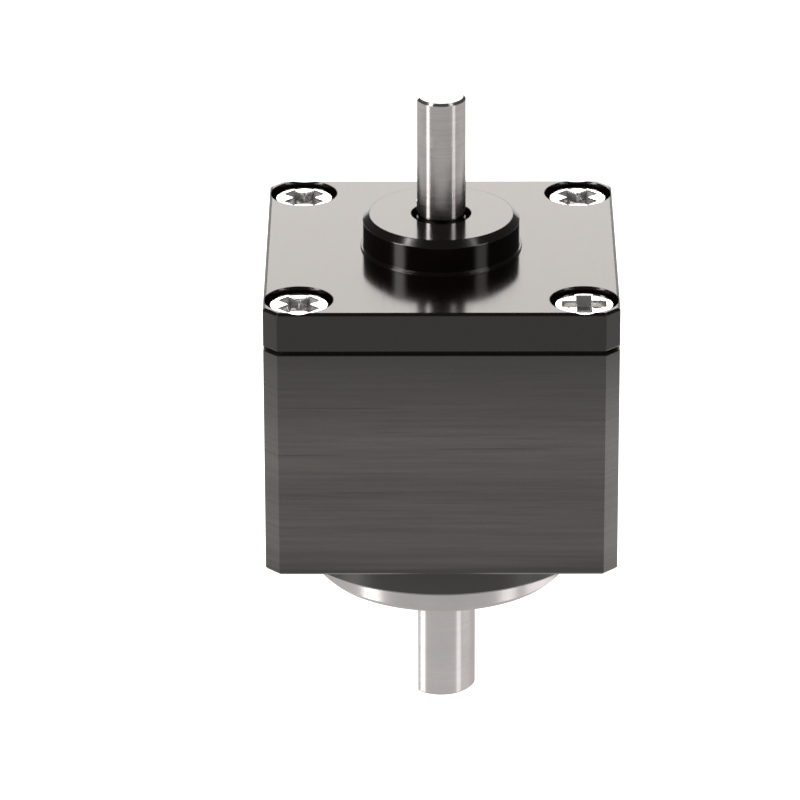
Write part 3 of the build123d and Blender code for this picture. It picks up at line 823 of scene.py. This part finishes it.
@dataclass(frozen=True)
class Screw:
    """A screw with a cut thread and a driven head.

    Attributes:
        shank_diameter: The thread's outer diameter.
        pitch: The thread's rise in one turn.
        thread_depth: How deep the thread is cut.
        length: The length under the head.
        head_diameter: The head's diameter.
        head_height: The head's height.
        rim: The radius that rounds the head's upper edge.
        recess: The drive in the head.
        recess_width: The drive's width, from tip to tip or across flats.
        recess_depth: The drive's depth.
        arm_width: The width of a cross's arms.
        arm_taper: How far the sides of the arms lean in, in degrees.
        arm_lean: How far the ends of the arms lean in, in degrees.
        web: How far the corner between two arms is cut back.
        point_mouth: The radius of the cone in a cross's middle, as a share of an arm's width.
        point_tip: The radius of that cone's tip.
        point_depth: How far the cone goes below the cross.
        softening: How far the edges of the recess are rounded.
        plain_length: The length of the plain shank under the head.
        segments: How many sides a round has.
        rows_per_turn: How many rings one turn of the thread has.
    """

    shank_diameter: float
    pitch: float
    thread_depth: float
    length: float
    head_diameter: float
    head_height: float
    rim: float
    recess: Recess
    recess_width: float
    recess_depth: float
    arm_width: float = 0.0
    arm_taper: float = 6.0
    arm_lean: float = 24.0
    web: float = 0.15
    point_mouth: float = 0.6
    point_tip: float = 0.3
    point_depth: float = 0.3
    softening: float = 0.08
    plain_length: float = 1.5
    segments: int = 48
    rows_per_turn: int = 8

    def thread_rings(self, top: float) -> list[list[Vector]]:
        """Return the rings of the threaded shank, from its tip up to the underside of the head.

        Args:
            top: The height of the head's underside.

        Returns:
            The rings, about the screw's own axis.
        """
        outer = self.shank_diameter / 2
        rows = round((self.length - self.plain_length) / self.pitch * self.rows_per_turn)
        rings = []
        for row in range(rows + 1):
            height = top - self.length + row * self.pitch / self.rows_per_turn
            lead = min(1.0, row / self.rows_per_turn)
            fade = min(1.0, (rows - row) / self.rows_per_turn)
            ring = []
            for index in range(self.segments):
                share = index / self.segments
                phase = (row / self.rows_per_turn - share) % 1.0
                cut = abs(2 * phase - 1) * self.thread_depth * fade
                radius = outer - cut - (1 - lead) * self.thread_depth
                around = 2 * math.pi * share
                ring.append(Vector((radius * math.cos(around), radius * math.sin(around), height)))
            rings.append(ring)
        return rings

    def circle(self, radius: float, height: float) -> list[Vector]:
        """Return one round ring of the screw."""
        turns = (2 * math.pi * index / self.segments for index in range(self.segments))
        return [Vector((radius * math.cos(t), radius * math.sin(t), height)) for t in turns]

    def cross_cutter(self, top: float, turn: float) -> Piece:
        """Make the tapered cross that is sunk into the head.

        Args:
            top: The height of the head's top.
            turn: The cross's angle about the screw, in degrees.

        Returns:
            The cutter.
        """
        taper = math.tan(math.radians(self.arm_taper))
        lean = math.tan(math.radians(self.arm_lean))
        rings = []
        for height in (top + OVERHANG, top - self.recess_depth):
            sunk = top - height
            reach = self.recess_width / 2 - sunk * lean
            half = self.arm_width / 2 - sunk * taper
            inner = half + self.web
            quarter = [(reach, -half), (reach, half), (inner, half), (half, inner)]
            ring = []
            for step in range(4):
                spin = Matrix.Rotation(math.radians(90 * step + turn), 3, "Z")
                ring += [spin @ Vector((x, y, height)) for x, y in quarter]
            rings.append(ring)
        return made_object(stacked(rings), "cutter")

    def hexagon_cutter(self, top: float) -> Piece:
        """Make the hexagon that is sunk into the head.

        Args:
            top: The height of the head's top.

        Returns:
            The cutter.
        """
        corner = self.recess_width / math.sqrt(3)
        turns = [math.radians(60 * index) for index in range(6)]
        rings = [
            [Vector((corner * math.cos(t), corner * math.sin(t), height)) for t in turns]
            for height in (top + OVERHANG, top - self.recess_depth)
        ]
        return made_object(stacked(rings), "cutter")

    def point_cutter(self, top: float) -> Piece:
        """Make the blunt cone in the middle of a cross recess.

        Args:
            top: The height of the head's top.

        Returns:
            The cutter.
        """
        mouth = self.point_mouth * self.arm_width
        slope = (mouth - self.point_tip) / (self.recess_depth + self.point_depth)
        rings = [
            self.circle(mouth + OVERHANG * slope, top + OVERHANG),
            self.circle(self.point_tip, top - self.recess_depth - self.point_depth),
        ]
        return made_object(stacked(rings), "cutter")

    def build(self, name: str, head_top: float, turn: float = 0.0) -> Piece:
        """Make the screw about its own axis.

        Args:
            name: The object's name.
            head_top: The height of the top of the head.
            turn: The recess's angle about the screw, in degrees.

        Returns:
            The screw.
        """
        underside = head_top - self.head_height
        head = rounded([
            Corner(self.shank_diameter / 2, underside),
            Corner(self.head_diameter / 2, underside, self.rim / 3),
            Corner(self.head_diameter / 2, head_top, self.rim),
            Corner(self.head_diameter / 3, head_top),
        ])
        rings = self.thread_rings(underside)
        rings += [self.circle(radius, height) for radius, height in head]
        screw = made_object(stacked(rings), name)
        if self.recess is Recess.CROSS:
            cut_out(screw, self.cross_cutter(head_top, turn))
            cut_out(screw, self.point_cutter(head_top))
        else:
            cut_out(screw, self.hexagon_cutter(head_top))
        soften(screw, head_top, self.head_diameter / 2 - 2 * self.rim, self.softening)
        return screw


def place(piece: Piece, x: float, y: float) -> None:
    """Move a piece's mesh sideways, and leave its object at the origin.

    Args:
        piece: The piece.
        x: The move along X, in metres.
        y: The move along Y, in metres.
    """
    piece.data.transform(Matrix.Translation((x, y, 0)))


def dress_new(piece: Piece, slot: str, body: str) -> None:
    """Give a new piece its finish, its slot and the body that it rides on.

    Args:
        piece: The piece.
        slot: The slot, which is also the finish's name.
        body: The body's name.
    """
    piece.data.materials.clear()
    piece.data.materials.append(MATERIALS[slot])
    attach(piece, body)
    log.info("made %s, finish %s, on %s", piece.name, slot, body)


@dataclass
class SubAssembly:
    """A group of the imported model's nodes that are dressed together, with any new pieces.

    Attributes:
        finishes: The finish of each node of the group.
    """

    finishes: dict[str, str] = field(default_factory=dict)

    def build(self) -> None:
        """Make the new pieces, of which a plain group has none."""

    def dress(self) -> None:
        """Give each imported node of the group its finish."""
        for node, slot in self.finishes.items():
            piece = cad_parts[node]
            for entry in piece.material_slots:
                entry.link = "OBJECT"
                entry.material = MATERIALS[slot]
            log.info("dressed %s, finish %s", node, slot)


@dataclass
class Casing(SubAssembly):
    """The square housing, its gasket and the input cover."""

    finishes: dict[str, str] = field(default_factory=lambda: {
        "housing": "housing_anodised",
        "cover_gasket": "gasket",
        "input_cover": "cover_anodised",
        "input_seal": "seal_rubber",
        "output_seal": "seal_rubber",
    })


@dataclass
class CoverScrews(SubAssembly):
    """The four plated screws that hold the cover, one with its cross square to the sides.

    Attributes:
        screw: The screw's sizes.
        square_corner: The side in X and in Y at which the square cross stands.
        diagonal: The angle of the other crosses, in degrees.
    """

    screw: Screw = Screw(
        shank_diameter=4.0, pitch=0.7, thread_depth=0.38, length=15.0,
        head_diameter=8.6, head_height=2.5, rim=0.35,
        recess=Recess.CROSS, recess_width=6.2, recess_depth=1.5, arm_width=2.1,
    )
    square_corner: tuple[int, int] = (1, -1)
    diagonal: float = 45.0

    def build(self) -> None:
        """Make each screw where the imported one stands."""
        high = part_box("cover_screws")[1]
        reach = high.x - self.screw.head_diameter / 2 * MM
        for number, corner in enumerate(CORNERS, start=1):
            turn = 0.0 if corner == self.square_corner else self.diagonal
            screw = self.screw.build(f"cover_screw_{number}", high.z / MM, turn)
            place(screw, corner[0] * reach, corner[1] * reach)
            dress_new(screw, "screw_nickel", "root")
            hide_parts("cover_screws")


@dataclass
class StrainWaveGears(SubAssembly):
    """The toothed cup, the internal gear and what clamps them.

    Attributes:
        screw: The sizes of the screws that hold the cup on the hub.
        screw_count: How many there are.
        screw_circle: The diameter of the circle that they stand on.
    """

    finishes: dict[str, str] = field(default_factory=lambda: {
        "circular_spline": "gear_steel",
        "circular_spline_pins": "bearing_steel",
        "flexspline": "spring_steel",
        "flexspline_clamp_ring": "gear_steel",
    })
    screw: Screw = Screw(
        shank_diameter=2.5, pitch=0.45, thread_depth=0.24, length=9.5,
        head_diameter=4.3, head_height=2.5, rim=0.25,
        recess=Recess.HEXAGON, recess_width=2.0, recess_depth=1.25,
        plain_length=3.4, segments=36,
    )
    screw_count: int = 6
    screw_circle: float = 18.0

    def build(self) -> None:
        """Make the socket screws that hold the cup on the hub."""
        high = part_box("flexspline_screws")[1]
        radius = self.screw_circle / 2 * MM
        for number in range(self.screw_count):
            around = 2 * math.pi * number / self.screw_count
            screw = self.screw.build(f"flexspline_screw_{number + 1}", high.z / MM)
            place(screw, radius * math.cos(around), radius * math.sin(around))
            dress_new(screw, "screw_black", "output")
            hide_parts("flexspline_screws")


@dataclass
class InputLine(SubAssembly):
    """The input shaft with its wave generator and bearings."""

    finishes: dict[str, str] = field(default_factory=lambda: {
        "input_shaft": "input_shaft_steel",
        "plug_key": "gear_steel",
        "wave_generator_plug": "gear_steel",
        "plug_circlip": "spring_steel",
        "input_bearing_circlip": "spring_steel",
        "flex_bearing_outer_ring": "bearing_steel",
        "flex_bearing_inner_ring": "bearing_steel",
        "flex_bearing_balls": "bearing_steel",
        "flex_bearing_cage": "cage_polymer",
        "input_bearing_inner_ring": "bearing_steel",
        "input_bearing_outer_ring": "bearing_steel",
        "input_bearing_balls": "bearing_steel",
        "input_bearing_cage": "cage_brass",
        "pilot_bearing_inner_ring": "bearing_steel",
        "pilot_bearing_outer_ring": "bearing_steel",
        "pilot_bearing_balls": "bearing_steel",
        "pilot_bearing_cage": "cage_brass",
    })


@dataclass
class OutputLine(SubAssembly):
    """The output hub with its crossed roller bearing and ring nuts."""

    finishes: dict[str, str] = field(default_factory=lambda: {
        "output_hub": "output_shaft_steel",
        "output_bearing_inner_ring": "bearing_steel",
        "output_bearing_outer_lower": "bearing_steel",
        "output_bearing_outer_upper": "bearing_steel",
        "output_bearing_rollers": "bearing_steel",
        "output_bearing_spacers": "cage_polymer",
        "outer_race_nut": "gear_steel",
        "inner_race_nut": "gear_steel",
    })


def toward(azimuth: float, elevation: float) -> Vector:
    """Find a direction from the object.

    Args:
        azimuth: The angle round the object, in degrees, from -Y towards +X.
        elevation: The angle above level, in degrees.

    Returns:
        The direction, one long.
    """
    turn, lift = math.radians(azimuth), math.radians(elevation)
    level = math.cos(lift)
    return Vector((math.sin(turn) * level, -math.cos(turn) * level, math.sin(lift)))


@dataclass(frozen=True)
class Softbox:
    """A soft rectangular studio lamp that faces the object.

    Attributes:
        name: The lamp's name.
        azimuth: Where it hangs round the object, in degrees.
        elevation: Where it hangs above level, in degrees.
        distance: How far off it hangs, in metres.
        width: Its width, in metres.
        height: Its height, in metres.
        radiance: How bright its face is.
        colour: Its colour.
    """

    name: str
    azimuth: float
    elevation: float
    distance: float
    width: float
    height: float
    radiance: float
    colour: Colour = (1.0, 1.0, 1.0)

    def hang(self, aim: Vector) -> None:
        """Put the lamp in its place.

        Args:
            aim: The point that it faces.
        """
        lamp = bpy.data.lights.new(self.name, "AREA")
        lamp.shape = "RECTANGLE"
        lamp.size, lamp.size_y = self.width, self.height
        lamp.energy = self.radiance * math.pi * self.width * self.height
        lamp.color = self.colour
        holder = bpy.data.objects.new(self.name, lamp)
        bpy.context.scene.collection.objects.link(holder)
        direction = toward(self.azimuth, self.elevation)
        holder.location = aim + direction * self.distance
        holder.rotation_mode = "QUATERNION"
        holder.rotation_quaternion = direction.to_track_quat("Z", "Y")
        holder.visible_camera = False
        log.info("hung %s", self.name)


@dataclass(frozen=True)
class Studio:
    """The pale floor, the lamps and the camera.

    Attributes:
        floor_size: The floor's side, in metres.
        floor_drop: How far the floor lies under the object, in metres.
        floor_tone: The tone of the floor itself.
        floor_light: The glow of the floor in front of the object.
        floor_light_behind: The glow of the floor behind it.
        floor_blend: How far from the object the glow changes, in metres.
        floor_roughness: The floor's roughness.
        ambient: The light of the dim room.
        azimuth: Where the camera stands round the object, in degrees.
        elevation: Where it stands above level, in degrees.
        distance: How far it stands from what it is aimed at.
        aim_height: The height on the axis that it is aimed at.
        lens: The lens's focal length.
        sensor: The sensor's width.
        clipping: The nearest and the farthest that it sees, in metres.
        picture: The picture's side, in pixels.
        aim_pixel: The pixel that shows what the camera is aimed at.
        lamps: The lamps.
    """

    floor_size: float = 12.0
    floor_drop: float = 0.02
    floor_tone: Colour = (0.02, 0.02, 0.02)
    floor_light: float = 1.0
    floor_light_behind: float = 1.15
    floor_blend: float = 0.1
    floor_roughness: float = 0.06
    ambient: float = 0.18
    azimuth: float = -0.15
    elevation: float = 23.8
    distance: float = 860.5
    aim_height: float = 17.85
    lens: float = 267.7
    sensor: float = 36.0
    clipping: Span = (0.05, 50.0)
    picture: int = 800
    aim_pixel: tuple[float, float] = (441.16, 389.17)
    lamps: tuple[Softbox, ...] = (
        Softbox("back_softbox", azimuth=180.0, elevation=26.0, distance=1.2,
                width=0.55, height=0.75, radiance=4.1, colour=(1.0, 0.96, 0.92)),
        Softbox("left_strip", azimuth=-64.0, elevation=29.0, distance=1.0,
                width=0.27, height=1.1, radiance=17.0),
        Softbox("right_strip", azimuth=61.0, elevation=29.0, distance=1.0,
                width=0.28, height=1.1, radiance=7.0),
        Softbox("right_card", azimuth=90.0, elevation=-25.0, distance=0.088,
                width=0.05, height=0.04, radiance=1.8),
    )

    def aim(self) -> Vector:
        """Return the point that the camera and the lamps are aimed at."""
        return Vector((0, 0, self.aim_height * MM))

    def lay_floor(self) -> None:
        """Lay the pale, glossy floor a little under the object, lit more strongly behind it."""
        half = self.floor_size / 2
        low = CAD_BOX[0].z - self.floor_drop
        mesh = bpy.data.meshes.new("floor")
        mesh.from_pydata([(x * half, y * half, low) for x, y in CORNERS], [], [(0, 1, 2, 3)])
        floor = bpy.data.objects.new("floor", mesh)
        bpy.context.scene.collection.objects.link(floor)
        paper = ShaderTree("floor_paper")
        paper.set(Base_Color=self.floor_tone, Roughness=self.floor_roughness)
        paper.set(Emission_Color=(1.0, 1.0, 1.0))
        glow = (self.floor_light, self.floor_light_behind, -self.floor_blend, self.floor_blend)
        paper.feed("Emission Strength", paper.spread(paper.coordinate("Y"), *glow))
        mesh.materials.append(paper.material)

    def set_backdrop(self) -> None:
        """Make the room dim round the object, and as pale as the floor in the picture itself."""
        world = bpy.data.worlds.new("studio")
        bpy.context.scene.world = world
        world.use_nodes = True
        nodes, links = world.node_tree.nodes, world.node_tree.links
        dim = nodes["Background"]
        dim.inputs["Color"].default_value = (1.0, 1.0, 1.0, 1.0)
        dim.inputs["Strength"].default_value = self.ambient
        pale = nodes.new("ShaderNodeBackground")
        pale.inputs["Color"].default_value = (1.0, 1.0, 1.0, 1.0)
        pale.inputs["Strength"].default_value = self.floor_light
        seen = nodes.new("ShaderNodeLightPath").outputs["Is Camera Ray"]
        mix = nodes.new("ShaderNodeMixShader")
        links.new(seen, mix.inputs["Fac"])
        links.new(dim.outputs["Background"], mix.inputs[1])
        links.new(pale.outputs["Background"], mix.inputs[2])
        links.new(mix.outputs["Shader"], nodes["World Output"].inputs["Surface"])

    def set_camera(self) -> None:
        """Put the camera at the photograph's viewing angle."""
        data = bpy.data.cameras.new("camera")
        data.lens, data.sensor_width = self.lens, self.sensor
        data.shift_x = 0.5 - self.aim_pixel[0] / self.picture
        data.shift_y = self.aim_pixel[1] / self.picture - 0.5
        data.clip_start, data.clip_end = self.clipping
        camera = bpy.data.objects.new("camera", data)
        bpy.context.scene.collection.objects.link(camera)
        direction = toward(self.azimuth, self.elevation)
        camera.location = self.aim() + direction * self.distance * MM
        camera.rotation_mode = "QUATERNION"
        camera.rotation_quaternion = direction.to_track_quat("Z", "Y")
        bpy.context.scene.camera = camera

    def set_up(self) -> None:
        """Set up the floor, the backdrop, the lamps and the camera."""
        self.lay_floor()
        self.set_backdrop()
        for lamp in self.lamps:
            lamp.hang(self.aim())
        self.set_camera()
        bpy.context.scene.view_settings.view_transform = "Standard"
        log.info("studio is set up")


def main() -> None:
    """Make every finish, build the sub-assemblies in order and set up the studio."""
    logging.basicConfig(level=logging.INFO, format="%(name)s: %(message)s")
    for name, finish in FINISHES.items():
        MATERIALS[name] = finish.material()
        log.info("mixed finish %s", name)
    for assembly in (Casing(), CoverScrews(), StrainWaveGears(), InputLine(), OutputLine()):
        assembly.build()
        assembly.dress()
    Studio().set_up()
    bpy.context.view_layer.update()


if __name__ == "__main__":
    main()
